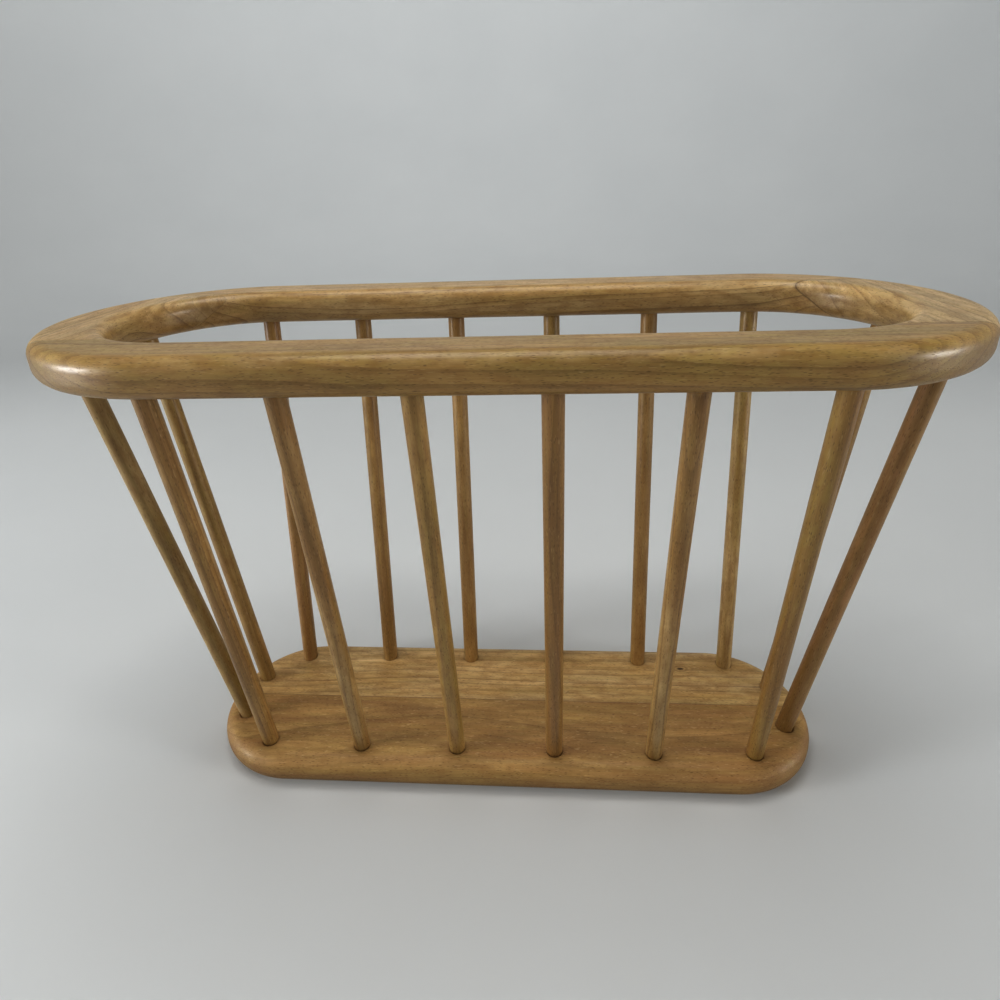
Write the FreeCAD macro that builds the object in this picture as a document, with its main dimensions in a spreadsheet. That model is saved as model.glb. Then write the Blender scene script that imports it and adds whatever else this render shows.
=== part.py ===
import FreeCAD, Part
import math
import os
import Sketcher

from FreeCAD import Placement, Rotation, Vector

# A wooden magazine rack: a racetrack-shaped base of two edge-glued boards, sixteen round spindles
# that lean outwards, and a rounded ring on top, glued up from two rails and two end pieces.
# X runs along the rack, Y across it and Z up. The origin is on the floor, under the middle of the base.

DRIVING_SIZES = {
    # Ring
    "rack_height": 282,
    "ring_run": 282,  # straight stretch, between the centres of the two round ends
    "ring_radius": 72.5,  # of the ring's middle line round an end
    "ring_width": 33,
    "ring_thickness": 19,
    "ring_round": 7,
    "scarf_top": 54,  # half the length of an end piece, along its top face
    "scarf_bottom": 38,  # and along its bottom face
    # Base
    "base_run": 274,
    "base_radius": 54.5,
    "base_thickness": 20,
    "base_round": 9.5,
    # Spindles
    "spindle_diameter": 10,
    "spindle_chamfer": 0.8,
    "spindle_pitch": 59.5,
    "end_angle": 24.7,  # degrees, round an end from the rack's long axis to a spindle
    "foot_inset": 15.5,  # from the base's edge to the middle of a spindle's foot
    "base_socket": 12,
    "ring_socket": 11,
}
SPINDLES_PER_SIDE = 6
ZONE_MARGIN = 20  # how far a cutting zone reaches past the wood

# Lengths that the driving sizes give, as formulas for the objects that need them.
RING_UNDERSIDE = "(sizes.rack_height - sizes.ring_thickness)"
FOOT_RADIUS = "(sizes.base_radius - sizes.foot_inset)"
RISE = f"({RING_UNDERSIDE} - sizes.base_thickness)"
ZONE_LENGTH = f"(sizes.ring_run / 2 + sizes.ring_radius + {ZONE_MARGIN})"
ZONE_WIDTH = f"(sizes.ring_radius + sizes.ring_width / 2 + {ZONE_MARGIN})"

doc = FreeCAD.newDocument("magazine_rack")
sizes = doc.addObject("Spreadsheet::Sheet", "sizes")
for row, (alias, size) in enumerate(DRIVING_SIZES.items(), start=1):
    sizes.set(f"A{row}", alias)
    sizes.set(f"B{row}", str(size))
    sizes.setAlias(f"B{row}", alias)
doc.recompute()


def number(formula):
    """What a formula comes to with the sheet's sizes."""
    return float(sizes.evalExpression(formula))


def bind(feature, formulas):
    for prop, formula in formulas.items():
        feature.setExpression(prop, formula)


def new_sketch(body, name):
    """A sketch on the body's own horizontal plane."""
    sketch = body.newObject("Sketcher::SketchObject", name)
    level = next(plane for plane in body.Origin.OriginFeatures if plane.Role == "XY_Plane")
    sketch.AttachmentSupport = [(level, "")]
    sketch.MapMode = "FlatFace"
    return sketch


def name_constraint(sketch, constraint, name, formula):
    index = sketch.addConstraint(constraint)
    sketch.renameConstraint(index, name)
    sketch.setExpression(f"Constraints.{name}", formula)


# ---------------------------------------------------------------- racetrack blanks

def add_racetrack(sketch, label, run, radius):
    """Two straight lines joined by two half circles, in the middle of the sketch."""
    half_run = number(run) / 2
    reach = number(radius)
    up = Vector(0, 0, 1)
    quarter = math.pi / 2

    right_circle = Part.Circle(Vector(half_run, 0, 0), up, reach)
    left_circle = Part.Circle(Vector(-half_run, 0, 0), up, reach)
    back = sketch.addGeometry(Part.LineSegment(Vector(-half_run, reach, 0), Vector(half_run, reach, 0)))
    front = sketch.addGeometry(Part.LineSegment(Vector(-half_run, -reach, 0), Vector(half_run, -reach, 0)))
    right = sketch.addGeometry(Part.ArcOfCircle(right_circle, -quarter, quarter))
    left = sketch.addGeometry(Part.ArcOfCircle(left_circle, quarter, 3 * quarter))

    start, end, centre = 1, 2, 3
    origin = (-1, start)
    horizontal_axis = -1
    sketch.addConstraint([
        Sketcher.Constraint("Tangent", back, end, right, end),
        Sketcher.Constraint("Tangent", front, end, right, start),
        Sketcher.Constraint("Tangent", front, start, left, end),
        Sketcher.Constraint("Tangent", back, start, left, start),
        Sketcher.Constraint("Horizontal", back),
        Sketcher.Constraint("Symmetric", right, centre, left, centre, *origin),
        Sketcher.Constraint("PointOnObject", right, centre, horizontal_axis),
    ])
    name_constraint(sketch, Sketcher.Constraint("Radius", right, reach), f"{label}_radius", radius)
    spread = Sketcher.Constraint("DistanceX", left, centre, right, centre, 2 * half_run)
    name_constraint(sketch, spread, f"{label}_run", run)


def level_edges(shape):
    """The edges that lie flat: the outlines of the top and the bottom face."""
    flat = 1e-4
    return [f"Edge{i}" for i, edge in enumerate(shape.Edges, start=1) if edge.BoundBox.ZLength < flat]


def make_blank(name, tracks, thickness, rounding, height):
    """A flat racetrack board or ring with every edge rounded over, before it is divided into pieces."""
    blank = doc.addObject("PartDesign::Body", name)
    outline = new_sketch(blank, f"{name}_outline")
    for label, run, radius in tracks:
        add_racetrack(outline, label, run, radius)
    pad = blank.newObject("PartDesign::Pad", f"{name}_pad")
    pad.Profile = outline
    bind(pad, {"Length": thickness})
    doc.recompute()

    rounded = blank.newObject("PartDesign::Fillet", f"{name}_rounding")
    rounded.Base = (pad, level_edges(pad.Shape))
    bind(rounded, {"Radius": rounding})
    blank.Tip = rounded
    bind(blank, {"Placement.Base.z": height})
    return blank


ring_blank = make_blank(
    "ring_blank",
    tracks=[
        ("outer", "sizes.ring_run", "sizes.ring_radius + sizes.ring_width / 2"),
        ("inner", "sizes.ring_run", "sizes.ring_radius - sizes.ring_width / 2"),
    ],
    thickness="sizes.ring_thickness",
    rounding="sizes.ring_round",
    height=RING_UNDERSIDE,
)
base_blank = make_blank(
    "base_blank",
    tracks=[("outer", "sizes.base_run", "sizes.base_radius")],
    thickness="sizes.base_thickness",
    rounding="sizes.base_round",
    height="0",
)


# ---------------------------------------------------------------- spindles

def track_y(run, radius, x):
    """How far from the long axis a racetrack's line lies, at x along the rack."""
    return f"sqrt(pow({radius}; 2) - pow(max({x} - {run} / 2; 0); 2))"


def make_spindle(name, foot, head, x_side, y_side):
    """A dowel from a socket in the base to one in the ring. Foot and head are (x, y) formulas of
    where its axis leaves the base and meets the ring's underside, for the +X +Y quarter."""
    slant = f"sqrt(pow({head[0]} - {foot[0]}; 2) + pow({head[1]} - {foot[1]}; 2) + pow({RISE}; 2))"
    length = f"{slant} * (1 + (sizes.base_socket + sizes.ring_socket) / {RISE})"
    foot_point = Vector(x_side * number(foot[0]), y_side * number(foot[1]), number("sizes.base_thickness"))
    head_point = Vector(x_side * number(head[0]), y_side * number(head[1]), number(RING_UNDERSIDE))
    lean = head_point - foot_point
    bottom = foot_point - lean * (number("sizes.base_socket") / number(RISE))
    place = Placement(bottom, Rotation(Vector(0, 0, 1), lean))

    spindle = doc.addObject("PartDesign::Body", name)
    section = new_sketch(spindle, f"{name}_section")
    radius = number("sizes.spindle_diameter / 2")
    circle = section.addGeometry(Part.Circle(Vector(0, 0, 0), Vector(0, 0, 1), radius))
    section.addConstraint(Sketcher.Constraint("Coincident", circle, 3, -1, 1))
    round_size = Sketcher.Constraint("Radius", circle, radius)
    name_constraint(section, round_size, "radius", "sizes.spindle_diameter / 2")
    pad = spindle.newObject("PartDesign::Pad", f"{name}_pad")
    pad.Profile = section
    bind(pad, {"Length": length})
    doc.recompute()

    chamfer = spindle.newObject("PartDesign::Chamfer", f"{name}_chamfer")
    chamfer.Base = (pad, level_edges(pad.Shape))
    bind(chamfer, {"Size": "sizes.spindle_chamfer"})
    spindle.Tip = chamfer
    spindle.Placement = place

    bore = doc.addObject("Part::Cylinder", f"{name}_bore")
    bind(bore, {"Radius": "sizes.spindle_diameter / 2", "Height": length})
    bore.Placement = place
    return spindle, bore


spindles = []
bores = []


def keep(spindle, bore):
    spindles.append(spindle)
    bores.append(bore)


# Along the straight sides, numbered from the left. Foot and head share their x: these lean outwards only.
for side_name, y_side in (("front", -1), ("back", 1)):
    for index in range(SPINDLES_PER_SIDE):
        steps = index - (SPINDLES_PER_SIDE - 1) / 2
        x = f"({abs(steps)} * sizes.spindle_pitch)"
        foot = (x, track_y("sizes.base_run", FOOT_RADIUS, x))
        head = (x, track_y("sizes.ring_run", "sizes.ring_radius", x))
        x_side = math.copysign(1, steps)
        keep(*make_spindle(f"{side_name}_spindle_{index + 1}", foot, head, x_side, y_side))

# Round the ends, where they lean outwards along the rack as well.
for end_name, x_side in (("left", -1), ("right", 1)):
    for side_name, y_side in (("front", -1), ("back", 1)):
        foot = (
            f"(sizes.base_run / 2 + {FOOT_RADIUS} * cos(sizes.end_angle))",
            f"({FOOT_RADIUS} * sin(sizes.end_angle))",
        )
        head = (
            "(sizes.ring_run / 2 + sizes.ring_radius * cos(sizes.end_angle))",
            "(sizes.ring_radius * sin(sizes.end_angle))",
        )
        keep(*make_spindle(f"{end_name}_end_{side_name}_spindle", foot, head, x_side, y_side))

all_bores = doc.addObject("Part::MultiFuse", "all_bores")
all_bores.Shapes = bores


# ---------------------------------------------------------------- ring and base pieces

def cut_piece(name, blank, zone):
    """The stretch of a blank inside a zone, with the spindles' sockets bored in it."""
    stretch = doc.addObject("Part::Common", f"{name}_stretch")
    stretch.Base = blank
    stretch.Tool = zone
    piece = doc.addObject("Part::Cut", name)
    piece.Base = stretch
    piece.Tool = all_bores
    return piece


def scarf_zone(name, y_bottom, y_top, x_range):
    """A block right through the ring. Its sides parallel to the long axis slope as the scarf joints do.
    The wedge's own X, Y and Z lie along the rack's Y, Z and X."""
    zone = doc.addObject("Part::Wedge", name)
    bind(zone, {
        "Xmin": y_bottom[0],
        "Xmax": y_bottom[1],
        "X2min": y_top[0],
        "X2max": y_top[1],
        "Ymin": "0",
        "Ymax": "sizes.ring_thickness",
        "Zmin": x_range[0],
        "Zmax": x_range[1],
        "Z2min": x_range[0],
        "Z2max": x_range[1],
    })
    zone.Placement = Placement(Vector(0, 0, 0), Rotation(Vector(1, 1, 1), 120))
    bind(zone, {"Placement.Base.z": RING_UNDERSIDE})
    return zone


BOTTOM = "sizes.scarf_bottom"
TOP = "sizes.scarf_top"
FULL_LENGTH = (f"-{ZONE_LENGTH}", ZONE_LENGTH)
RING_ZONES = {
    "front_rail": ((f"-{ZONE_WIDTH}", f"-{BOTTOM}"), (f"-{ZONE_WIDTH}", f"-{TOP}"), FULL_LENGTH),
    "back_rail": ((BOTTOM, ZONE_WIDTH), (TOP, ZONE_WIDTH), FULL_LENGTH),
    "left_end_piece": ((f"-{BOTTOM}", BOTTOM), (f"-{TOP}", TOP), (f"-{ZONE_LENGTH}", "0")),
    "right_end_piece": ((f"-{BOTTOM}", BOTTOM), (f"-{TOP}", TOP), ("0", ZONE_LENGTH)),
}
ring_pieces = [
    cut_piece(name, ring_blank, scarf_zone(f"{name}_zone", *limits))
    for name, limits in RING_ZONES.items()
]

base_pieces = []
for name, y_start in (("base_front_board", f"-{ZONE_WIDTH}"), ("base_back_board", "0")):
    zone = doc.addObject("Part::Box", f"{name}_zone")
    bind(zone, {
        "Length": f"2 * {ZONE_LENGTH}",
        "Width": ZONE_WIDTH,
        "Height": "sizes.base_thickness",
        "Placement.Base.x": f"-{ZONE_LENGTH}",
        "Placement.Base.y": y_start,
    })
    base_pieces.append(cut_piece(name, base_blank, zone))


# ---------------------------------------------------------------- checks and files

doc.recompute()
for item in doc.Objects:
    if "Invalid" in item.State or "Error" in item.State:
        raise RuntimeError(f"{item.Label} failed: {item.State}")

os.makedirs("parts", exist_ok=True)
for piece in ring_pieces + base_pieces + spindles:
    if piece.Shape.isNull() or not piece.Shape.isValid() or len(piece.Shape.Solids) != 1:
        raise RuntimeError(f"{piece.Label} isn't one valid solid")
    piece.Shape.exportStep(f"parts/{piece.Label}.step")
    print(f"{piece.Label}: {piece.Shape.Volume / 1000:.1f} cm3")
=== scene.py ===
import math
import random

import bmesh
import bpy
from mathutils import Euler, Matrix, Vector


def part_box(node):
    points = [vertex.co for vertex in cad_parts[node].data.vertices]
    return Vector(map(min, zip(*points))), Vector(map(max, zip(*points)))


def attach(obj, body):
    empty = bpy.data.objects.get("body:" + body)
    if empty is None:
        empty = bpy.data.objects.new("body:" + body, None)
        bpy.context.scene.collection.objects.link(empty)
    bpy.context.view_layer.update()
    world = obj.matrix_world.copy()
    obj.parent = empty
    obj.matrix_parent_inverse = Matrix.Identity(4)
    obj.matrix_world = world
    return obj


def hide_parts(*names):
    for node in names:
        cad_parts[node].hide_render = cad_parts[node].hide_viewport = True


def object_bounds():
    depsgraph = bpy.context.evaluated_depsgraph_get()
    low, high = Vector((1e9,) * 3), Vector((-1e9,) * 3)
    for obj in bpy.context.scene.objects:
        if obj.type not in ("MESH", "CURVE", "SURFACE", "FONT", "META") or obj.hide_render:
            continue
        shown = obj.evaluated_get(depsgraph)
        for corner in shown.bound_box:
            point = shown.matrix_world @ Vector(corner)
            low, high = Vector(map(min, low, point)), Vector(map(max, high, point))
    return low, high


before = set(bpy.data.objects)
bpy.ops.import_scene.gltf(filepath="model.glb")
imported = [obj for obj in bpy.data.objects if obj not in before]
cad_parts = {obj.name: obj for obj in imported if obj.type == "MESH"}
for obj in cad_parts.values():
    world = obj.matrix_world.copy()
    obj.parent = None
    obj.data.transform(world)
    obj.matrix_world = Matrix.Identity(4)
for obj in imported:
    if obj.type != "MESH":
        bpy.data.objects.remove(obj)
cad_low, cad_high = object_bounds()

# Lacquered wooden magazine rack. Metres, X along the rack, Y across it, Z up, floor at zero.

# ---------------------------------------------------------------- sizes

MM = 0.001
RACK_TOP = cad_high.z
HALF_LENGTH = cad_high.x
HALF_WIDTH = cad_high.y

RING_WIDTH = 33 * MM
RING_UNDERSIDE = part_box("front_rail")[0].z
RING_THICKNESS = RACK_TOP - RING_UNDERSIDE
RING_ROUND = 7 * MM
RING_RADIUS = HALF_WIDTH - RING_WIDTH / 2
RING_RUN = 2 * (HALF_LENGTH - HALF_WIDTH)

SCARF_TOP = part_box("left_end_piece")[1].y
SCARF_BOTTOM = -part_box("front_rail")[1].y

BASE_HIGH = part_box("base_back_board")[1]
BASE_TOP = BASE_HIGH.z
BASE_RADIUS = BASE_HIGH.y
BASE_RUN = 2 * (BASE_HIGH.x - BASE_RADIUS)
BASE_ROUND = 9.5 * MM

SPINDLE_RADIUS = 5 * MM
SPINDLE_CHAMFER = 0.8 * MM
SOCKET_SLACK = 0.01 * MM
RING_SOCKET_DEPTH = 11 * MM
BASE_SOCKET_DEPTH = 12 * MM
RING_SOCKET_FLARE = 0.05 * MM
BASE_SOCKET_FLARE = 0.03 * MM
RING_JOINT_EASE = 0.06 * MM
BASE_JOINT_EASE = 0.1 * MM
SPINDLES_PER_SIDE = 6
SIDES = ("front", "back")
SIDE_SPINDLES = [f"{side}_spindle_{i + 1}" for side in SIDES for i in range(SPINDLES_PER_SIDE)]
END_SPINDLES = [f"{end}_end_{side}_spindle" for end in ("left", "right") for side in SIDES]
SPINDLES = SIDE_SPINDLES + END_SPINDLES


# ---------------------------------------------------------------- node building

def add_node(tree, kind, inputs=None, **settings):
    """A node with its settings made, and each input either linked to a socket or set to a value."""
    node = tree.nodes.new(kind)
    for name, value in settings.items():
        setattr(node, name, value)
    for key, value in (inputs or {}).items():
        if isinstance(value, bpy.types.NodeSocket):
            tree.links.new(value, node.inputs[key])
        else:
            node.inputs[key].default_value = value
    return node


def math_node(tree, operation, first, second=0.0, third=0.0, clamp=False):
    values = {0: first, 1: second, 2: third}
    return add_node(tree, "ShaderNodeMath", values, operation=operation, use_clamp=clamp).outputs[0]


def vector_math(tree, operation, first, second=(0.0, 0.0, 0.0)):
    return add_node(tree, "ShaderNodeVectorMath", {0: first, 1: second}, operation=operation).outputs[0]


def scaled(tree, vector, factor):
    values = {0: vector, "Scale": factor}
    return add_node(tree, "ShaderNodeVectorMath", values, operation="SCALE").outputs[0]


def length_of(tree, vector):
    return add_node(tree, "ShaderNodeVectorMath", {0: vector}, operation="LENGTH").outputs["Value"]


def part_along(tree, vector, axis):
    return add_node(tree, "ShaderNodeSeparateXYZ", {0: vector}).outputs[axis]


def stretched_noise(tree, vector, stretch, detail, roughness):
    """Noise drawn out along the grain: stretch is its number of waves in a metre, along X, Y and Z."""
    return noise(tree, vector_math(tree, "MULTIPLY", vector, stretch), 1.0, detail, roughness)


def ramp(tree, value, low, high, to_low=0.0, to_high=1.0):
    """A smooth step from to_low to to_high while the value goes from low to high."""
    values = {0: value, 1: low, 2: high, 3: to_low, 4: to_high}
    return add_node(tree, "ShaderNodeMapRange", values, interpolation_type="SMOOTHSTEP").outputs[0]


def mix_colour(tree, factor, first, second, blend="MIX"):
    values = {0: factor, 6: first, 7: second}
    return add_node(tree, "ShaderNodeMix", values, data_type="RGBA", blend_type=blend).outputs[2]


def noise(tree, vector, scale, detail=2.0, roughness=0.5, output=0):
    values = {"Vector": vector, "Scale": scale, "Detail": detail, "Roughness": roughness}
    return add_node(tree, "ShaderNodeTexNoise", values).outputs[output]


def new_group(name, kind, inputs, outputs):
    """An empty node group with named inputs and outputs: (name, socket type, default)."""
    tree = bpy.data.node_groups.new(name, kind)
    for label, socket_type, default in inputs:
        socket = tree.interface.new_socket(label, in_out="INPUT", socket_type=socket_type)
        if default is not None:
            socket.default_value = default
    for label, socket_type in outputs:
        tree.interface.new_socket(label, in_out="OUTPUT", socket_type=socket_type)
    entry = tree.nodes.new("NodeGroupInput").outputs
    result = tree.nodes.new("NodeGroupOutput").inputs
    return tree, entry, result


def link(tree, *pairs):
    for source, target in pairs:
        tree.links.new(source, target)


def use_group(tree, group, inputs):
    return add_node(tree, "ShaderNodeGroup", inputs, node_tree=group).outputs


FLOAT = "NodeSocketFloat"
VECTOR = "NodeSocketVector"


# ---------------------------------------------------------------- wood, as shader node groups
# Each reads a vector in metres whose X runs along the grain.

def growth_ring_group():
    """Annual rings round a wandering pith: darker latewood lines, straight or in long arches."""
    tree, entry, result = new_group(
        "Growth rings", "ShaderNodeTree",
        [
            ("Vector", VECTOR, None),
            ("Pith", VECTOR, None),
            ("Ring Width", FLOAT, 0.004),
            ("Warp", FLOAT, 0.002),
        ],
        [("Latewood", FLOAT)],
    )
    stretched = vector_math(tree, "MULTIPLY", entry["Vector"], (5.0, 32.0, 32.0))
    ripple = vector_math(tree, "SUBTRACT", noise(tree, stretched, 1.0, 2.0, 0.55, 1), (0.5, 0.5, 0.5))
    along = vector_math(tree, "MULTIPLY", entry["Vector"], (3.2, 3.0, 3.0))
    wander = vector_math(tree, "SUBTRACT", noise(tree, along, 1.0, 1.0, 0.4, 1), (0.5, 0.5, 0.5))
    wide = math_node(tree, "MULTIPLY", entry["Warp"], 9.0)
    moved = vector_math(tree, "ADD", entry["Vector"], scaled(tree, ripple, entry["Warp"]))
    moved = vector_math(tree, "ADD", moved, scaled(tree, wander, wide))
    from_pith = vector_math(tree, "SUBTRACT", moved, entry["Pith"])
    across = vector_math(tree, "MULTIPLY", from_pith, (0.0, 1.0, 1.0))
    turns = math_node(tree, "DIVIDE", length_of(tree, across), entry["Ring Width"])
    uneven = add_node(
        tree, "ShaderNodeTexNoise", {"W": turns, "Scale": 0.45, "Detail": 1.0}, noise_dimensions="1D",
    ).outputs[0]
    turns = math_node(tree, "ADD", turns, math_node(tree, "MULTIPLY", uneven, 1.6))
    place = math_node(tree, "FRACT", turns)
    slow_rise = math_node(tree, "MULTIPLY", ramp(tree, place, 0.1, 0.9), 0.4)
    quick_rise = math_node(tree, "MULTIPLY_ADD", ramp(tree, place, 0.62, 0.92), 0.6, slow_rise)
    fall = ramp(tree, place, 0.93, 1.0, 1.0, 0.0)
    latewood = math_node(tree, "MULTIPLY", quick_rise, fall)
    ring_number = math_node(tree, "FLOOR", turns)
    tone = add_node(
        tree, "ShaderNodeTexWhiteNoise", {"W": ring_number}, noise_dimensions="1D",
    ).outputs[0]
    strength = math_node(tree, "MULTIPLY_ADD", tone, 0.75, 0.25)
    link(tree, (math_node(tree, "MULTIPLY", latewood, strength), result["Latewood"]))
    return tree


def pore_group():
    """Short open vessel lines along the grain, which are dots on end grain."""
    tree, entry, result = new_group(
        "Pores", "ShaderNodeTree",
        [("Vector", VECTOR, None), ("Spacing", FLOAT, 0.001), ("Length", FLOAT, 9.0), ("Size", FLOAT, 0.3)],
        [("Pore", FLOAT)],
    )
    finer = math_node(tree, "DIVIDE", 1.0, entry["Spacing"])
    along = math_node(tree, "DIVIDE", finer, entry["Length"])
    scale = add_node(tree, "ShaderNodeCombineXYZ", {0: along, 1: finer, 2: finer}).outputs[0]
    cells = vector_math(tree, "MULTIPLY", entry["Vector"], scale)
    bend = vector_math(tree, "SUBTRACT", noise(tree, cells, 0.35, 1.0, 0.5, 1), (0.5, 0.5, 0.5))
    cells = vector_math(tree, "ADD", cells, bend)
    spots = add_node(tree, "ShaderNodeTexVoronoi", {"Vector": cells, "Scale": 1.0})
    soft = math_node(tree, "MULTIPLY", entry["Size"], 0.35)
    line = add_node(
        tree, "ShaderNodeMapRange",
        {0: spots.outputs["Distance"], 1: soft, 2: entry["Size"], 3: 1.0, 4: 0.0},
        interpolation_type="SMOOTHSTEP",
    ).outputs[0]
    drawn = add_node(tree, "ShaderNodeSeparateColor", {0: spots.outputs["Color"]}).outputs[0]
    patches = noise(tree, cells, 0.09, 2.0)
    kept = ramp(tree, math_node(tree, "ADD", drawn, patches), 0.55, 1.05)
    link(tree, (math_node(tree, "MULTIPLY", line, kept), result["Pore"]))
    return tree


def fibre_group():
    """Fine and broad streaks along the grain, pale flecks, and a short mottle."""
    tree, entry, result = new_group(
        "Fibres", "ShaderNodeTree",
        [("Vector", VECTOR, None)],
        [("Fine", FLOAT), ("Broad", FLOAT), ("Fleck", FLOAT), ("Mottle", FLOAT)],
    )
    fine = stretched_noise(tree, entry["Vector"], (45.0, 1600.0, 1600.0), 3.0, 0.6)
    broad = stretched_noise(tree, entry["Vector"], (9.0, 260.0, 260.0), 3.0, 0.55)
    dashes = stretched_noise(tree, entry["Vector"], (260.0, 900.0, 2600.0), 1.0, 0.5)
    mottle = stretched_noise(tree, entry["Vector"], (85.0, 260.0, 260.0), 3.0, 0.6)
    link(
        tree,
        (fine, result["Fine"]),
        (broad, result["Broad"]),
        (ramp(tree, dashes, 0.62, 0.74), result["Fleck"]),
        (ramp(tree, mottle, 0.36, 0.66), result["Mottle"]),
    )
    return tree


def board_tone_group():
    """Slow changes of colour within one board: warmer or greener, lighter or darker."""
    tree, entry, result = new_group(
        "Board tone", "ShaderNodeTree",
        [("Vector", VECTOR, None)],
        [("Warmth", FLOAT), ("Shade", FLOAT)],
    )
    warmth = stretched_noise(tree, entry["Vector"], (15.0, 80.0, 80.0), 2.0, 0.5)
    elsewhere = vector_math(tree, "ADD", entry["Vector"], (3.7, 1.9, 5.3))
    shade = stretched_noise(tree, elsewhere, (14.0, 90.0, 90.0), 3.0, 0.55)
    link(
        tree,
        (ramp(tree, warmth, 0.3, 0.7), result["Warmth"]),
        (ramp(tree, shade, 0.28, 0.72), result["Shade"]),
    )
    return tree


def knot_group():
    """A small pin knot: a dark heart, and rings squeezed round it."""
    tree, entry, result = new_group(
        "Knot", "ShaderNodeTree",
        [("Vector", VECTOR, None), ("Centre", VECTOR, None), ("Size", FLOAT, 0.002)],
        [("Heart", FLOAT), ("Swirl", FLOAT)],
    )
    away = vector_math(tree, "SUBTRACT", entry["Vector"], entry["Centre"])
    oval = vector_math(tree, "MULTIPLY", away, (0.55, 1.0, 0.2))
    steps = math_node(tree, "DIVIDE", length_of(tree, oval), entry["Size"])
    ragged = stretched_noise(tree, away, (300.0, 700.0, 300.0), 2.0, 0.5)
    steps = math_node(tree, "ADD", steps, math_node(tree, "MULTIPLY_ADD", ragged, 0.7, -0.35))
    rings = math_node(tree, "SINE", math_node(tree, "MULTIPLY", steps, 5.0))
    reach = ramp(tree, steps, 0.8, 4.5, 1.0, 0.0)
    swirl = math_node(tree, "MULTIPLY", math_node(tree, "MULTIPLY_ADD", rings, 0.5, 0.5), reach)
    link(tree, (ramp(tree, steps, 0.35, 1.1, 1.0, 0.0), result["Heart"]), (swirl, result["Swirl"]))
    return tree


def glue_line_group():
    """A hairline where a plane through the wood shows at the surface, broken here and there."""
    tree, entry, result = new_group(
        "Glue line", "ShaderNodeTree",
        [("Vector", VECTOR, None), ("Distance", FLOAT, 1.0), ("Half Width", FLOAT, 0.0003)],
        [("Line", FLOAT)],
    )
    gap = math_node(tree, "ABSOLUTE", entry["Distance"])
    uneven = noise(tree, entry["Vector"], 130.0, 2.0)
    widening = math_node(tree, "MULTIPLY_ADD", uneven, 1.2, 0.4)
    reach = math_node(tree, "MULTIPLY", entry["Half Width"], widening)
    line = add_node(tree, "ShaderNodeMapRange", {0: gap, 1: 0.0, 2: reach, 3: 1.0, 4: 0.0}).outputs[0]
    link(tree, (line, result["Line"]))
    return tree


def lacquer_group():
    """How the clear coat has been handled: duller patches, rubbed streaks and fine dust nibs."""
    tree, entry, result = new_group(
        "Lacquer", "ShaderNodeTree",
        [("Vector", VECTOR, None)],
        [("Dull", FLOAT), ("Orange Peel", FLOAT), ("Nib", FLOAT)],
    )
    patches = noise(tree, entry["Vector"], 38.0, 3.0, 0.6)
    rubbed = stretched_noise(tree, entry["Vector"], (18.0, 700.0, 700.0), 2.0, 0.6)
    dull = math_node(tree, "MULTIPLY_ADD", rubbed, 0.45, math_node(tree, "MULTIPLY", patches, 0.55))
    peel = noise(tree, entry["Vector"], 420.0, 2.0, 0.5)
    specks = add_node(
        tree, "ShaderNodeTexVoronoi", {"Vector": entry["Vector"], "Scale": 260.0},
    ).outputs["Distance"]
    link(
        tree,
        (dull, result["Dull"]),
        (peel, result["Orange Peel"]),
        (ramp(tree, specks, 0.03, 0.09, 1.0, 0.0), result["Nib"]),
    )
    return tree


def edge_wear_and_painted_shade_group():
    """Rounded edges, where hands have rubbed the finish thin, in patches, and painted shade: faces turned
    down or sideways are darker than the tops."""
    tree, entry, result = new_group(
        "Edge wear and painted shade", "ShaderNodeTree",
        [("Vector", VECTOR, None), ("Normal", VECTOR, None)],
        [("Wear", FLOAT), ("Painted Shade", FLOAT)],
    )
    facing_up = part_along(tree, entry["Normal"], "Z")
    upright = math_node(tree, "ABSOLUTE", facing_up)
    leaving_flat = ramp(tree, upright, 0.2, 0.6)
    reaching_flat = ramp(tree, upright, 0.75, 0.99, 1.0, 0.0)
    rounded = math_node(tree, "MULTIPLY", leaving_flat, reaching_flat)
    patches = ramp(tree, noise(tree, entry["Vector"], 60.0, 4.0, 0.65), 0.42, 0.66)
    link(
        tree,
        (math_node(tree, "MULTIPLY", rounded, patches), result["Wear"]),
        # Painted shade: darker as a face turns down or sideways.
        (ramp(tree, facing_up, -0.6, 0.9, 1.0, 0.0), result["Painted Shade"]),
    )
    return tree


GROWTH_RINGS = growth_ring_group()
PORES = pore_group()
FIBRES = fibre_group()
BOARD_TONE = board_tone_group()
KNOT = knot_group()
GLUE_LINE = glue_line_group()
LACQUER = lacquer_group()
EDGE_WEAR_AND_PAINTED_SHADE = edge_wear_and_painted_shade_group()

# Linear colours of the bare wood under the lacquer.
STRAW = (0.68, 0.490, 0.245, 1.0)
HONEY = (0.58, 0.370, 0.145, 1.0)
ROSY = (0.55, 0.310, 0.130, 1.0)
OLIVE = (0.45, 0.310, 0.098, 1.0)
TEA_BROWN = (0.36, 0.200, 0.065, 1.0)
LATEWOOD_BROWN = (0.18, 0.088, 0.026, 1.0)
PORE_BROWN = (0.085, 0.040, 0.012, 1.0)
# Brown of a knot's heart, and of the gathered finish and painted contact shade round the sockets.
KNOT_AND_SOCKET_SHADE_BROWN = (0.06, 0.028, 0.009, 1.0)
GLUE_BROWN = (0.09, 0.045, 0.014, 1.0)
# AMBER, with OLIVE or CHESTNUT, gives the front rail and the front base board darker tones: partly their
# own colour, partly painted shade on the rack's front.
AMBER = (0.51, 0.322, 0.123, 1.0)
CHESTNUT = (0.38, 0.211, 0.079, 1.0)
# Painted shade: what is left of a tone on faces turned down or sideways.
PAINTED_SHADE_TINT = (0.60, 0.56, 0.47, 1.0)


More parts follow.
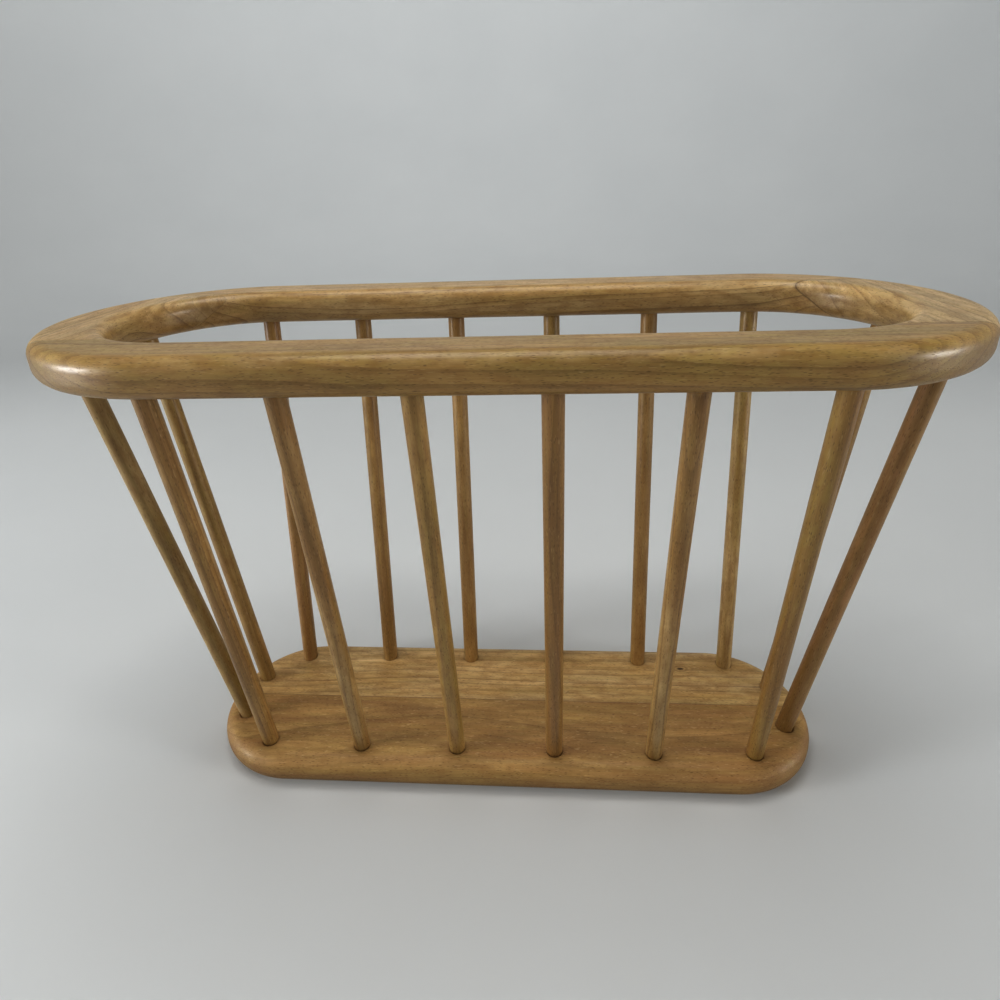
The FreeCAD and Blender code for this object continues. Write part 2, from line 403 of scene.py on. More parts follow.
def scarf_distance(tree, position):
    """Metres from the nearest scarf plane. The four planes mirror each other across the rack."""
    drop = RING_THICKNESS
    spread = SCARF_TOP - SCARF_BOTTOM
    facing = Vector((0.0, drop, -spread)).normalized()
    offset = facing.dot(Vector((0.0, SCARF_TOP, RACK_TOP)))
    folded = vector_math(tree, "ABSOLUTE", position)
    depth = add_node(tree, "ShaderNodeVectorMath", {0: folded, 1: facing}, operation="DOT_PRODUCT")
    return math_node(tree, "SUBTRACT", depth.outputs["Value"], offset)


def seam_distance(tree, position):
    """Metres from the middle of the base, where its two boards meet."""
    return part_along(tree, position, "Y")


def tinted(tree, wood, mask, strength, tint):
    """The wood's colour taken towards a tint, by a mask times a strength."""
    return mix_colour(tree, math_node(tree, "MULTIPLY", mask, strength), wood, tint)


def figured_wood(tree, tone, fibres, latewood, ring_strength, pale, deep):
    """The bare wood's colour, from the slow changes to the fine ones."""
    wood = mix_colour(tree, tone["Warmth"], pale, deep)
    wood = tinted(tree, wood, ramp(tree, fibres["Broad"], 0.35, 0.68), 0.5, OLIVE)
    wood = tinted(tree, wood, fibres["Mottle"], 0.55, TEA_BROWN)
    wood = tinted(tree, wood, latewood, ring_strength, LATEWOOD_BROWN)
    darker = math_node(tree, "MULTIPLY_ADD", tone["Shade"], -0.22, 1.1)
    finer = math_node(tree, "MULTIPLY_ADD", fibres["Fine"], -0.5, 1.25)
    both = math_node(tree, "MULTIPLY", darker, finer)
    grey = add_node(tree, "ShaderNodeCombineColor", {0: both, 1: both, 2: both}).outputs[0]
    wood = mix_colour(tree, 1.0, wood, grey, "MULTIPLY")
    return tinted(tree, wood, fibres["Fleck"], 0.35, STRAW)


def end_grain(tree, normal, turn):
    """How far a face cuts across the fibres. Such wood drinks more finish and is darker."""
    facing = add_node(
        tree, "ShaderNodeMapping", {"Vector": normal, "Rotation": turn}, vector_type="TEXTURE",
    ).outputs[0]
    end_on = math_node(tree, "ABSOLUTE", part_along(tree, facing, "X"))
    return ramp(tree, end_on, 0.35, 1.0, 0.0, 0.42)


def gathered_finish_and_painted_shade(tree, position, on_spindle):
    """Gathered finish and painted contact shade: a little darker where a spindle enters its sockets, on it
    and round them.
    """
    if not on_spindle:
        return add_node(
            tree, "ShaderNodeAttribute", attribute_name="socket_shade", attribute_type="GEOMETRY",
        ).outputs["Fac"]
    # Painted contact shade on the spindle, next to the base top and the ring's underside.
    reach = 1.6 * MM
    height = part_along(tree, position, "Z")
    foot = ramp(tree, height, BASE_TOP, BASE_TOP + reach, 0.15, 0.0)
    head = ramp(tree, height, RING_UNDERSIDE - reach, RING_UNDERSIDE, 0.0, 0.2)
    return math_node(tree, "MAXIMUM", foot, head)


def satin_lacquer(tree, shader, coat, pores, wear, gloss):
    """Fairly smooth, but duller where the finish is rubbed, over open pores and on dust nibs."""
    rough = math_node(tree, "MULTIPLY_ADD", coat["Dull"], 0.34, 0.44 - 0.21 * gloss)
    rough = math_node(tree, "MULTIPLY_ADD", pores, 0.16, rough)
    rough = math_node(tree, "MULTIPLY_ADD", wear, 0.12, rough)
    rough = math_node(tree, "MULTIPLY_ADD", coat["Nib"], 0.1, rough, clamp=True)
    link(tree, (rough, shader.inputs["Roughness"]))
    shader.inputs["Coat Weight"].default_value = 0.17 * gloss
    shader.inputs["Coat Roughness"].default_value = 0.24
    shader.inputs["IOR"].default_value = 1.48


def relief(tree, shader, fibres, dips, coat):
    """Fibres, pores, joints and the lacquer's own skin, felt as bump."""
    height = math_node(tree, "MULTIPLY_ADD", fibres["Fine"], 0.35, math_node(tree, "MULTIPLY", dips, -1.0))
    height = math_node(tree, "MULTIPLY_ADD", coat["Orange Peel"], 0.35, height)
    height = math_node(tree, "MULTIPLY_ADD", coat["Nib"], 0.4, height)
    bump = add_node(tree, "ShaderNodeBump", {"Height": height, "Strength": 0.55, "Distance": 0.12 * MM})
    link(tree, (bump.outputs[0], shader.inputs["Normal"]))


def lacquered_wood(name, place, turn, pith, pale, deep, ring_width, ring_strength, warp=0.003, joint=None,
                   joint_strength=0.4, knot=None, on_spindle=False, gloss=1.0,
                   edge_tone=STRAW, edge_strength=0.28):
    """Honey-coloured hardwood under satin lacquer. place and turn put the pattern's X along the grain,
    and pith is where the tree's middle lies from there."""
    material = bpy.data.materials.new(name)
    material.use_nodes = True
    tree = material.node_tree
    tree.nodes.clear()
    shader = tree.nodes.new("ShaderNodeBsdfPrincipled")
    output = tree.nodes.new("ShaderNodeOutputMaterial")
    link(tree, (shader.outputs[0], output.inputs["Surface"]))

    coordinates = tree.nodes.new("ShaderNodeTexCoord").outputs
    position = coordinates["Object"]
    normal = coordinates["Normal"]
    grain = add_node(
        tree, "ShaderNodeMapping",
        {"Vector": position, "Location": place, "Rotation": turn}, vector_type="TEXTURE",
    ).outputs[0]
    rings = use_group(tree, GROWTH_RINGS, {
        "Vector": grain, "Pith": pith, "Ring Width": ring_width, "Warp": warp,
    })
    small = use_group(tree, PORES, {"Vector": grain, "Spacing": 0.6 * MM, "Length": 5.5, "Size": 0.34})
    large = use_group(tree, PORES, {"Vector": grain, "Spacing": 1.2 * MM, "Length": 5.0, "Size": 0.22})
    pores = math_node(tree, "MAXIMUM", small["Pore"], large["Pore"])
    fibres = use_group(tree, FIBRES, {"Vector": grain})
    tone = use_group(tree, BOARD_TONE, {"Vector": grain})
    coat = use_group(tree, LACQUER, {"Vector": grain})
    handled = use_group(tree, EDGE_WEAR_AND_PAINTED_SHADE, {"Vector": position, "Normal": normal})
    wear = handled["Wear"]

    wood = figured_wood(tree, tone, fibres, rings["Latewood"], ring_strength, pale, deep)
    pore_stain = math_node(tree, "MULTIPLY_ADD", wear, 0.35, 0.5)
    wood = tinted(tree, wood, pores, pore_stain, PORE_BROWN)
    wood = mix_colour(tree, end_grain(tree, normal, turn), wood, LATEWOOD_BROWN)
    wood = tinted(tree, wood, wear, edge_strength, edge_tone)
    # Painted shade: faces turned down or sideways are darkened.
    wood = mix_colour(tree, handled["Painted Shade"], wood, PAINTED_SHADE_TINT, "MULTIPLY")
    if knot:
        eye = use_group(tree, KNOT, {"Vector": position, "Centre": knot, "Size": 1.6 * MM})
        wood = tinted(tree, wood, eye["Swirl"], 0.45, LATEWOOD_BROWN)
        wood = tinted(tree, wood, eye["Heart"], 0.85, KNOT_AND_SOCKET_SHADE_BROWN)
    dips = math_node(tree, "MULTIPLY", pores, 0.8)
    if joint:
        seam = use_group(tree, GLUE_LINE, {
            "Vector": position, "Distance": joint(tree, position), "Half Width": 0.5 * MM,
        })
        wood = tinted(tree, wood, seam["Line"], joint_strength, GLUE_BROWN)
        dips = math_node(tree, "MAXIMUM", dips, seam["Line"])
    # Gathered finish and painted contact shade where the spindles meet the base and the ring.
    wood = mix_colour(tree, gathered_finish_and_painted_shade(tree, position, on_spindle), wood, KNOT_AND_SOCKET_SHADE_BROWN)
    link(tree, (wood, shader.inputs["Base Color"]))

    satin_lacquer(tree, shader, coat, pores, wear, gloss)
    relief(tree, shader, fibres, dips, coat)
    return material


# ---------------------------------------------------------------- shapes, as geometry node trees

def finish_tree(tree, geometry, material, result):
    """Every tree ends the same way: real mesh, smooth shading and the piece's material."""
    smooth = add_node(tree, "GeometryNodeSetShadeSmooth", {"Geometry": geometry})
    real = add_node(tree, "GeometryNodeRealizeInstances", {"Geometry": smooth.outputs[0]})
    coated = add_node(tree, "GeometryNodeSetMaterial", {"Geometry": real.outputs[0], "Material": material})
    link(tree, (coated.outputs[0], result["Geometry"]))


def hollowed(tree, geometry, place, hollows_per_metre, depth):
    """The shape with soft hollows worn into it, up to depth, as handwork leaves it."""
    hollow = math_node(tree, "MULTIPLY", noise(tree, place, hollows_per_metre, 1.0), depth)
    inwards = math_node(tree, "MULTIPLY", hollow, -1.0)
    facing = tree.nodes.new("GeometryNodeInputNormal").outputs[0]
    values = {"Geometry": geometry, "Offset": scaled(tree, facing, inwards)}
    return add_node(tree, "GeometryNodeSetPosition", values).outputs[0]


def ring_tree():
    """A bull-nosed moulding swept round a racetrack, sanded by hand so that it isn't dead true."""
    tree, entry, result = new_group(
        "Racetrack moulding", "GeometryNodeTree",
        [
            ("Geometry", "NodeSocketGeometry", None),
            ("Run", FLOAT, 0.28),
            ("Radius", FLOAT, 0.07),
            ("Height", FLOAT, 0.27),
            ("Section Width", FLOAT, 0.033),
            ("Section Thickness", FLOAT, 0.019),
            ("Section Round", FLOAT, 0.007),
            ("Path Step", FLOAT, 0.0025),
            ("Section Step", FLOAT, 0.0016),
            ("Sanding", FLOAT, 0.00012),
            ("Material", "NodeSocketMaterial", None),
        ],
        [("Geometry", "NodeSocketGeometry")],
    )
    corner_steps = 60
    edge_steps = 10
    breadth = math_node(tree, "MULTIPLY", entry["Radius"], 2.0)
    length = math_node(tree, "ADD", entry["Run"], breadth)
    oblong = add_node(tree, "GeometryNodeCurvePrimitiveQuadrilateral", {"Width": length, "Height": breadth})
    path = add_node(
        tree, "GeometryNodeFilletCurve",
        {
            "Curve": oblong.outputs[0],
            "Count": corner_steps,
            "Radius": entry["Radius"],
            "Limit Radius": True,
        },
        mode="POLY",
    )
    path = add_node(
        tree, "GeometryNodeResampleCurve",
        {"Curve": path.outputs[0], "Length": entry["Path Step"]}, mode="LENGTH",
    )
    upright = add_node(tree, "GeometryNodeSetCurveNormal", {"Curve": path.outputs[0]}, mode="Z_UP")
    block = add_node(
        tree, "GeometryNodeCurvePrimitiveQuadrilateral",
        {"Width": entry["Section Width"], "Height": entry["Section Thickness"]},
    )
    section = add_node(
        tree, "GeometryNodeFilletCurve",
        {
            "Curve": block.outputs[0],
            "Count": edge_steps,
            "Radius": entry["Section Round"],
            "Limit Radius": True,
        },
        mode="POLY",
    )
    section = add_node(
        tree, "GeometryNodeResampleCurve",
        {"Curve": section.outputs[0], "Length": entry["Section Step"]}, mode="LENGTH",
    )
    swept = add_node(
        tree, "GeometryNodeCurveToMesh", {"Curve": upright.outputs[0], "Profile Curve": section.outputs[0]},
    )
    lift = add_node(tree, "ShaderNodeCombineXYZ", {2: entry["Height"]})
    raised = add_node(
        tree, "GeometryNodeSetPosition", {"Geometry": swept.outputs[0], "Offset": lift.outputs[0]},
    )
    place = tree.nodes.new("GeometryNodeInputPosition").outputs[0]
    sanded = hollowed(tree, raised.outputs[0], place, 42.0, entry["Sanding"])
    finish_tree(tree, sanded, entry["Material"], result)
    return tree


def dowel_tree():
    """A straight dowel between two points, chamfered at its ends and very slightly uneven."""
    tree, entry, result = new_group(
        "Dowel", "GeometryNodeTree",
        [
            ("Geometry", "NodeSocketGeometry", None),
            ("Foot", VECTOR, None),
            ("Head", VECTOR, None),
            ("Radius", FLOAT, 0.005),
            ("Chamfer", FLOAT, 0.0008),
            ("Unevenness", FLOAT, 0.00008),
            ("Seed", FLOAT, 0.0),
            ("Material", "NodeSocketMaterial", None),
        ],
        [("Geometry", "NodeSocketGeometry")],
    )
    rings_along = 180
    facets_round = 40
    axis = add_node(
        tree, "GeometryNodeCurvePrimitiveLine", {"Start": entry["Foot"], "End": entry["Head"]},
    ).outputs[0]
    path = add_node(
        tree, "GeometryNodeResampleCurve", {"Curve": axis, "Count": rings_along}, mode="COUNT",
    )
    whole = add_node(tree, "GeometryNodeCurveLength", {"Curve": axis}).outputs[0]
    run = tree.nodes.new("GeometryNodeSplineParameter").outputs["Length"]
    to_end = math_node(tree, "MINIMUM", run, math_node(tree, "SUBTRACT", whole, run))
    smaller = math_node(tree, "DIVIDE", entry["Chamfer"], entry["Radius"])
    narrow = math_node(tree, "SUBTRACT", 1.0, smaller)
    girth = add_node(
        tree, "ShaderNodeMapRange", {0: to_end, 1: 0.0, 2: entry["Chamfer"], 3: narrow, 4: 1.0},
    ).outputs[0]
    circle = add_node(
        tree, "GeometryNodeCurvePrimitiveCircle", {"Resolution": facets_round, "Radius": entry["Radius"]},
    )
    swept = add_node(tree, "GeometryNodeCurveToMesh", {
        "Curve": path.outputs[0], "Profile Curve": circle.outputs[0], "Scale": girth, "Fill Caps": True,
    })
    place = tree.nodes.new("GeometryNodeInputPosition").outputs[0]
    seed = add_node(tree, "ShaderNodeCombineXYZ", {0: entry["Seed"], 1: entry["Seed"], 2: entry["Seed"]})
    spot = vector_math(tree, "ADD", place, seed.outputs[0])
    worn = hollowed(tree, swept.outputs[0], spot, 55.0, entry["Unevenness"])
    finish_tree(tree, worn, entry["Material"], result)
    return tree


def placed(name, data):
    thing = bpy.data.objects.new(name, data)
    bpy.context.scene.collection.objects.link(thing)
    return thing


def built(name, mesh):
    """An object with what has been drawn in a bmesh, which is used up."""
    data = bpy.data.meshes.new(name)
    mesh.to_mesh(data)
    mesh.free()
    return placed(name, data)


def grown(name, tree, values):
    """The mesh that a geometry node tree gives with these named inputs."""
    carrier = placed(name, bpy.data.meshes.new(name))
    modifier = carrier.modifiers.new("shape", "NODES")
    modifier.node_group = tree
    for socket in tree.interface.items_tree:
        if socket.in_out == "INPUT" and socket.name in values:
            modifier[socket.identifier] = values[socket.name]
    return applied(carrier)


def applied(carrier):
    """The object with its modifiers turned into plain mesh."""
    seen = carrier.evaluated_get(bpy.context.evaluated_depsgraph_get())
    plain = bpy.data.meshes.new_from_object(seen)
    carrier.modifiers.clear()
    carrier.data = plain
    plain.name = carrier.name
    return carrier


def remove(*objects):
    for item in objects:
        bpy.data.objects.remove(item)


def recoat(piece, material):
    piece.data.materials.clear()
    piece.data.materials.append(material)


# ---------------------------------------------------------------- where the spindles run

def spindle_axis(name):
    """Foot, where the axis crosses the base's top, and head, where it crosses the ring's underside."""
    low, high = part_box(name)
    middle = (low + high) / 2
    # The box of a leaning dowel is wider than its axis by the dowel's own round end, seen aslant.
    tall = high.z - low.z
    thickness = Vector((2 * SPINDLE_RADIUS, 2 * SPINDLE_RADIUS, 0.0))
    lean = Vector((high.x - low.x, high.y - low.y, 0.0)) - thickness
    lean.x = max(lean.x, 0.0)
    lean.y = max(lean.y, 0.0)
    direction = Vector((math.copysign(lean.x, middle.x), math.copysign(lean.y, middle.y), tall))
    direction.z -= 2 * SPINDLE_RADIUS * math.hypot(lean.x, lean.y) / tall
    direction.normalize()
    foot = middle + direction * ((BASE_TOP - middle.z) / direction.z)
    head = middle + direction * ((RING_UNDERSIDE - middle.z) / direction.z)
    return foot, head


def spindle_ends(name):
    foot, head = spindle_axis(name)
    low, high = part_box(name)
    direction = (head - foot).normalized()
    rim = SPINDLE_RADIUS * math.hypot(direction.x, direction.y)
    bottom = foot + direction * ((low.z + rim - foot.z) / direction.z)
    top = head + direction * ((high.z - rim - head.z) / direction.z)
    return bottom, top


AXES = {name: spindle_axis(name) for name in SPINDLES}


def across_axis(point, foot, head):
    """Distance of a point from a spindle's axis."""
    direction = (head - foot).normalized()
    away = point - foot
    return (away - direction * away.dot(direction)).length


def add_socket_shade(piece, level):
    """Marks the wood close round each socket on the flat face at this level, for gathered finish and
    painted contact shade.
    """
    reach = 1.4 * MM
    near_level = 3 * MM
    darkest = 0.25
    shade = piece.data.attributes.new("socket_shade", "FLOAT", "POINT")
    for vertex in piece.data.vertices:
        if abs(vertex.co.z - level) > near_level:
            continue
        gap = min(across_axis(vertex.co, *axis) for axis in AXES.values()) - SPINDLE_RADIUS
        shade.data[vertex.index].value = darkest * max(0.0, 1.0 - max(gap, 0.0) / reach) ** 2


def make_cutter(name, start, direction, depth, flare):
    """A drill with a flared shoulder: it bores a socket and breaks the edge of its mouth."""
    proud = 2.0 * MM
    bit = SPINDLE_RADIUS + SOCKET_SLACK
    profile = [(-depth, bit), (-flare, bit), (proud, bit + flare + proud)]
    teeth = 48
    rotation = Vector((0, 0, 1)).rotation_difference(direction)
    mesh = bmesh.new()
    rows = []
    for along, radius in profile:
        row = []
        for tooth in range(teeth):
            angle = math.tau * tooth / teeth
            local = Vector((radius * math.cos(angle), radius * math.sin(angle), along))
            row.append(mesh.verts.new(start + rotation @ local))
        rows.append(row)
    for lower, upper in zip(rows, rows[1:]):
        for tooth in range(teeth):
            following = (tooth + 1) % teeth
            mesh.faces.new((lower[tooth], lower[following], upper[following], upper[tooth]))
    mesh.faces.new(list(reversed(rows[0])))
    mesh.faces.new(rows[-1])
    return built(name, mesh)


def joined(name, objects):
    mesh = bmesh.new()
    for item in objects:
        mesh.from_mesh(item.data)
    remove(*objects)
    return built(name, mesh)


def drill(piece, cutters):
    cut = piece.modifiers.new("sockets", "BOOLEAN")
    cut.operation = "DIFFERENCE"
    cut.solver = "EXACT"
    cut.object = cutters
    applied(piece)


def crisp_edges(piece, degrees=32):
    piece.data.polygons.foreach_set("use_smooth", [True] * len(piece.data.polygons))
    piece.data.set_sharp_from_angle(angle=math.radians(degrees))


# ---------------------------------------------------------------- ring

def slice_off(mesh, point, facing):
    """Cuts the mesh at a plane, drops the side that the plane faces and closes the cut."""
    cut = bmesh.ops.bisect_plane(
        mesh, geom=mesh.verts[:] + mesh.edges[:] + mesh.faces[:],
        plane_co=point, plane_no=facing, clear_outer=True, dist=1e-7,
    )
    edges = [item for item in cut["geom_cut"] if isinstance(item, bmesh.types.BMEdge)]
    made = bmesh.ops.contextual_create(mesh, geom=edges)
    return made["faces"]


def ease_cut(mesh, caps, width):
    """Takes the sharp edge off round a cut face, so that a joint shows as a fine groove."""
    # A dictionary, unlike a set, keeps the edges in the order in which they come.
    edges = dict.fromkeys(edge for cap in caps for edge in cap.edges)
    bmesh.ops.bevel(
        mesh, geom=list(edges), offset=width, offset_type="OFFSET", segments=2, profile=0.5,
        affect="EDGES", clamp_overlap=True,
    )


def ring_piece(name, whole, planes, material):
    piece = placed(name, whole.data.copy())
    mesh = bmesh.new()
    mesh.from_mesh(piece.data)
    for point, facing in planes:
        caps = slice_off(mesh, point, facing)
        ease_cut(mesh, caps, RING_JOINT_EASE)
    bmesh.ops.recalc_face_normals(mesh, faces=mesh.faces[:])
    mesh.to_mesh(piece.data)
    mesh.free()
    recoat(piece, material)
    return piece


def scarf_plane(side, keep_end):
    """A scarf joint's plane on the front (-1) or back (1) side, facing away from what is kept."""
    point = Vector((0.0, side * SCARF_TOP, RACK_TOP))
    outwards = Vector((0.0, side * RING_THICKNESS, -(SCARF_TOP - SCARF_BOTTOM))).normalized()
    return point, outwards if keep_end else -outwards


def make_ring():
    ring_height = (RACK_TOP + RING_UNDERSIDE) / 2
    whole = grown("whole_ring", ring_tree(), {
        "Run": RING_RUN,
        "Radius": RING_RADIUS,
        "Height": ring_height,
        "Section Width": RING_WIDTH,
        "Section Thickness": RING_THICKNESS,
        "Section Round": RING_ROUND,
        "Sanding": 0.12 * MM,
    })
    cutters = joined("ring_drills", [
        make_cutter("drill", head, (foot - head).normalized(), RING_SOCKET_DEPTH, RING_SOCKET_FLARE)
        for foot, head in AXES.values()
    ])
    lengthwise = (0.0, 0.0, 0.0)
    nearly_lengthwise = (0.0, math.radians(0.6), math.radians(0.8))
    crosswise = (0.0, 0.0, math.radians(90))
    woods = {
        # The front rail's darker tones are partly painted shade on the rack's front.
        "front_rail": lacquered_wood(
            "front rail wood", (0.0, -RING_RADIUS, ring_height), lengthwise, (0.0, 0.045, -0.05),
            AMBER, OLIVE, 0.0034, 0.7, joint=scarf_distance, joint_strength=0.1),
        "back_rail": lacquered_wood(
            "back rail wood", (0.31, RING_RADIUS, ring_height), nearly_lengthwise, (0.0, -0.045, -0.05),
            STRAW, HONEY, 0.0036, 0.5, joint=scarf_distance),
        "left_end_piece": lacquered_wood(
            "left end wood", (-HALF_LENGTH, 0.12, ring_height), crosswise, (0.0, 0.03, -0.05),
            STRAW, HONEY, 0.0045, 0.5, joint=scarf_distance, joint_strength=0.0),
        "right_end_piece": lacquered_wood(
            "right end wood", (HALF_LENGTH, -0.21, ring_height), crosswise, (0.0, -0.035, 0.045),
            STRAW, STRAW, 0.005, 0.4, joint=scarf_distance, joint_strength=0.9),
    }
    middle = Vector((0.0, 0.0, ring_height))
    both_joints = [scarf_plane(-1, True), scarf_plane(1, True)]
    cuts = {
        "front_rail": [scarf_plane(-1, False)],
        "back_rail": [scarf_plane(1, False)],
        "left_end_piece": [(middle, Vector((1, 0, 0))), *both_joints],
        "right_end_piece": [(middle, Vector((-1, 0, 0))), *both_joints],
    }
    for name, material in woods.items():
        piece = ring_piece(f"{name}_wood", whole, cuts[name], material)
        drill(piece, cutters)
        recoat(piece, material)
        add_socket_shade(piece, RING_UNDERSIDE)
        crisp_edges(piece)
        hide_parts(name)
        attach(piece, "root")
    remove(whole, cutters)


# ---------------------------------------------------------------- base

def base_stations(side):
    """Points round one half of the base, as (centre along X, direction out), from one end to the other."""
    half_run = BASE_RUN / 2
    turn_steps = 40
    run_steps = 120
    stations = []
    for step in range(turn_steps):
        angle = math.pi * 0.5 * step / turn_steps
        stations.append((half_run, Vector((math.cos(angle), side * math.sin(angle), 0.0))))
    for step in range(run_steps + 1):
        stations.append((half_run - BASE_RUN * step / run_steps, Vector((0.0, float(side), 0.0))))
    for step in range(1, turn_steps + 1):
        angle = math.pi * 0.5 * (1 + step / turn_steps)
        stations.append((-half_run, Vector((math.cos(angle), side * math.sin(angle), 0.0))))
    return stations


def base_profile():
    """The board's section from the middle of its top, out over the rounded edge and back underneath."""
    flat = BASE_RADIUS - BASE_ROUND
    flat_steps = 30
    turn_steps = 12
    top = [(flat * step / flat_steps, BASE_TOP) for step in range(flat_steps)]
    over = []
    for step in range(turn_steps + 1):
        angle = math.pi * 0.5 * step / turn_steps
        over.append((flat + BASE_ROUND * math.sin(angle), BASE_TOP - BASE_ROUND * (1 - math.cos(angle))))
    under = [(radius, BASE_TOP - height) for radius, height in reversed(over)]
    bottom = [(radius, 0.0) for radius, _ in reversed(top)]
    return top + over + under + bottom


def base_board(name, side, material):
    stations = base_stations(side)
    profile = base_profile()
    mesh = bmesh.new()
    rows = []
    for centre, out in stations:
        row = [mesh.verts.new(Vector((centre, 0.0, height)) + out * radius) for radius, height in profile]
        rows.append(row)
    for left, right in zip(rows, rows[1:]):
        for step in range(len(profile) - 1):
            corners = (left[step], left[step + 1], right[step + 1], right[step])
            mesh.faces.new(corners)
    bmesh.ops.remove_doubles(mesh, verts=mesh.verts[:], dist=0.01 * MM)
    open_edges = [edge for edge in mesh.edges if edge.is_boundary]
    caps = bmesh.ops.contextual_create(mesh, geom=open_edges)["faces"]
    ease_cut(mesh, caps, BASE_JOINT_EASE)
    bmesh.ops.recalc_face_normals(mesh, faces=mesh.faces[:])
    board = built(name, mesh)
    recoat(board, material)
    return board


def make_base():
    cutters = joined("base_drills", [
        make_cutter("drill", foot, (head - foot).normalized(), BASE_SOCKET_DEPTH, BASE_SOCKET_FLARE)
        for foot, head in AXES.values()
    ])
    # On the base the rubbed rounded edges go darker: dirt in the worn finish, and partly painted shade on
    # the rounded sides.
    dull = {"joint": seam_distance, "gloss": 0.25, "edge_tone": TEA_BROWN, "edge_strength": 0.4}
    boards = {
        # The front board's darker tones are partly painted shade where the ring shades it.
        "base_front_board": (-1, lacquered_wood(
            "base front wood", (0.1, -0.02, 0.01), (0.0, math.radians(-0.5), math.radians(0.7)),
            (0.0, -0.04, -0.09), AMBER, CHESTNUT, 0.0042, 0.4, warp=0.005, **dull)),
        "base_back_board": (1, lacquered_wood(
            "base back wood", (-0.2, 0.03, 0.01), (0.0, math.radians(0.7), math.radians(-0.5)),
            (0.0, 0.035, -0.06), STRAW, HONEY, 0.0034, 0.6, warp=0.0045,
            knot=(0.118, 0.032, BASE_TOP), **dull)),
    }
    for name, (side, material) in boards.items():
        board = base_board(f"{name}_wood", side, material)
        drill(board, cutters)
        recoat(board, material)
        add_socket_shade(board, BASE_TOP)
        crisp_edges(board)
        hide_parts(name)
        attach(board, "root")
    remove(cutters)


# ---------------------------------------------------------------- spindles

def make_spindles():
    tree = dowel_tree()
    chance = random.Random(16)
    tones = [(STRAW, OLIVE), (HONEY, OLIVE), (STRAW, TEA_BROWN), (HONEY, TEA_BROWN)]
    darker_ones = {
        "front_spindle_4": (CHESTNUT, TEA_BROWN),
        "front_spindle_6": (OLIVE, TEA_BROWN),
        "right_end_front_spindle": (ROSY, TEA_BROWN),
        "back_spindle_1": (ROSY, TEA_BROWN),
    }
    for number, name in enumerate(SPINDLES):
        bottom, top = spindle_ends(name)
        direction = (top - bottom).normalized()
        grain_turn = Vector((1, 0, 0)).rotation_difference(direction).to_euler()
        shift = direction * chance.uniform(-0.4, 0.4)
        pith_angle = chance.uniform(0.0, math.tau)
        pith_far = chance.uniform(0.012, 0.05)
        pith = (0.0, pith_far * math.cos(pith_angle), pith_far * math.sin(pith_angle))
        usual_tones = chance.choice(tones)
        pale, deep = darker_ones.get(name, usual_tones)
        material = lacquered_wood(
            f"{name} wood", bottom + shift, grain_turn, pith, pale, deep,
            chance.uniform(0.0028, 0.0045), chance.uniform(0.35, 0.6), on_spindle=True,
        )
        dowel = grown(f"{name}_dowel", tree, {
            "Foot": bottom,
            "Head": top,
            "Radius": SPINDLE_RADIUS,
            "Chamfer": SPINDLE_CHAMFER,
            "Unevenness": 0.08 * MM,
            "Seed": float(number),
            "Material": material,
        })
        crisp_edges(dowel)
        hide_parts(name)
        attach(dowel, "root")


make_ring()
make_base()
make_spindles()


# ---------------------------------------------------------------- studio

def sweep_material():
    """Matt pale paper."""
    material = bpy.data.materials.new("pale paper")
    material.use_nodes = True
    tree = material.node_tree
    shader = tree.nodes["Principled BSDF"]
    place = tree.nodes.new("ShaderNodeTexCoord").outputs["Object"]
    cloudy = noise(tree, place, 3.0, 3.0)
    tint = mix_colour(tree, cloudy, (0.66, 0.675, 0.677, 1.0), (0.72, 0.732, 0.73, 1.0))
    link(tree, (tint, shader.inputs["Base Color"]))
    shader.inputs["Roughness"].default_value = 0.62
    return material


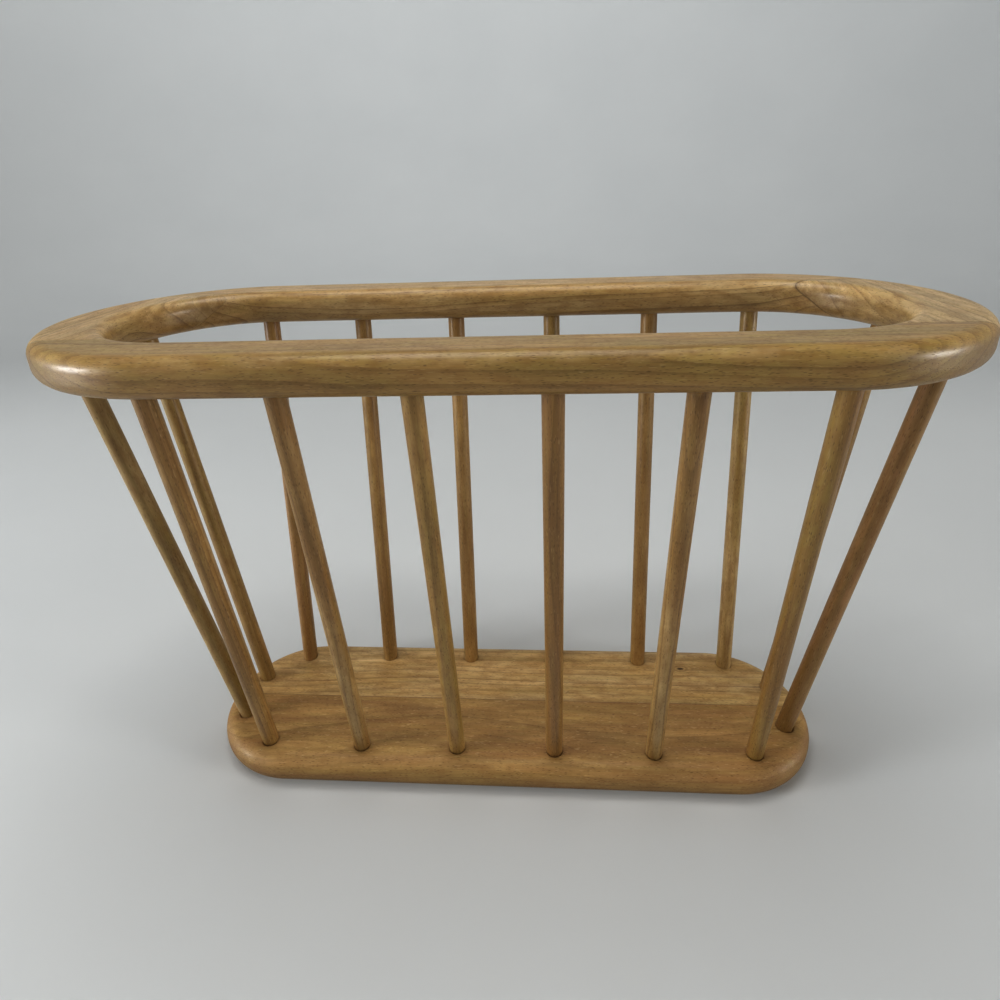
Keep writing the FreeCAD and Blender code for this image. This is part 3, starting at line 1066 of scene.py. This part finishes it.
def make_sweep():
    """A round floor that curves up into a wall all the way round, so that no horizon shows."""
    flat = 1.5
    bend = 1.2
    wall = 2.6
    flat_steps = 6
    bend_steps = 16
    spokes = 96
    profile = [(flat * step / flat_steps, 0.0) for step in range(1, flat_steps + 1)]
    for step in range(1, bend_steps + 1):
        angle = math.pi * 0.5 * step / bend_steps
        profile.append((flat + bend * math.sin(angle), bend * (1 - math.cos(angle))))
    profile.append((flat + bend, wall))
    angles = [math.tau * spoke / spokes for spoke in range(spokes)]
    mesh = bmesh.new()
    centre = mesh.verts.new((0, 0, 0))
    rows = []
    for radius, height in profile:
        rows.append([mesh.verts.new((radius * math.cos(a), radius * math.sin(a), height)) for a in angles])
    for spoke in range(spokes):
        following = (spoke + 1) % spokes
        mesh.faces.new((centre, rows[0][spoke], rows[0][following]))
        for inner, outer in zip(rows, rows[1:]):
            mesh.faces.new((inner[spoke], outer[spoke], outer[following], inner[following]))
    sweep = built("sweep", mesh)
    sweep.data.polygons.foreach_set("use_smooth", [True] * len(sweep.data.polygons))
    sweep.data.materials.append(sweep_material())


def soft_light(name, place, aim, size, power, colour):
    lamp = bpy.data.lights.new(name, "AREA")
    lamp.shape = "DISK"
    lamp.size = size
    lamp.energy = power
    lamp.color = colour
    light = placed(name, lamp)
    light.visible_camera = False
    light.location = place
    light.rotation_euler = (Vector(aim) - Vector(place)).to_track_quat("-Z", "Y").to_euler()


def make_light():
    soft_light("overhead", (-0.15, 0.05, 1.9), (-0.1, 0.35, 0.0), 1.2, 18.3, (1.0, 0.99, 0.97))
    soft_light("left panel", (-1.6, -0.53, 0.42), (0.0, 0.05, 0.2), 0.48, 18.5, (0.97, 0.985, 1.0))
    soft_light("right panel", (1.65, -0.49, 0.42), (0.0, 0.05, 0.2), 0.48, 12.3, (1.0, 0.99, 0.97))
    soft_light("wall wash", (-0.25, 0.6, 1.6), (-0.2, 2.6, 2.0), 1.2, 18.0, (0.98, 0.99, 1.0))
    world = bpy.data.worlds.new("studio")
    world.use_nodes = True
    backdrop = world.node_tree.nodes["Background"].inputs
    backdrop["Color"].default_value = (0.93, 0.96, 1.0, 1.0)
    backdrop["Strength"].default_value = 0.09
    bpy.context.scene.world = world
    # The plain transform, with the mid-tones a little deeper.
    bpy.context.scene.view_settings.view_transform = "Standard"
    bpy.context.scene.view_settings.gamma = 0.78


def make_camera():
    lens = bpy.data.cameras.new("camera")
    lens.sensor_width = 36.0
    lens.lens = 23.15
    lens.shift_y = -0.0564
    lens.clip_start = 0.01
    camera = placed("camera", lens)
    tilt = math.radians(-23.23)
    turn = math.radians(4.84)
    roll = math.radians(-2.29)
    level = Euler((math.pi / 2 + tilt, 0.0, turn)).to_matrix()
    aim = (level @ Matrix.Rotation(roll, 3, "Z")).to_4x4()
    place = Vector((0.0283, -0.3260, 0.3466))
    camera.matrix_world = Matrix.Translation(place) @ aim
    bpy.context.scene.camera = camera


make_sweep()
make_light()
make_camera()
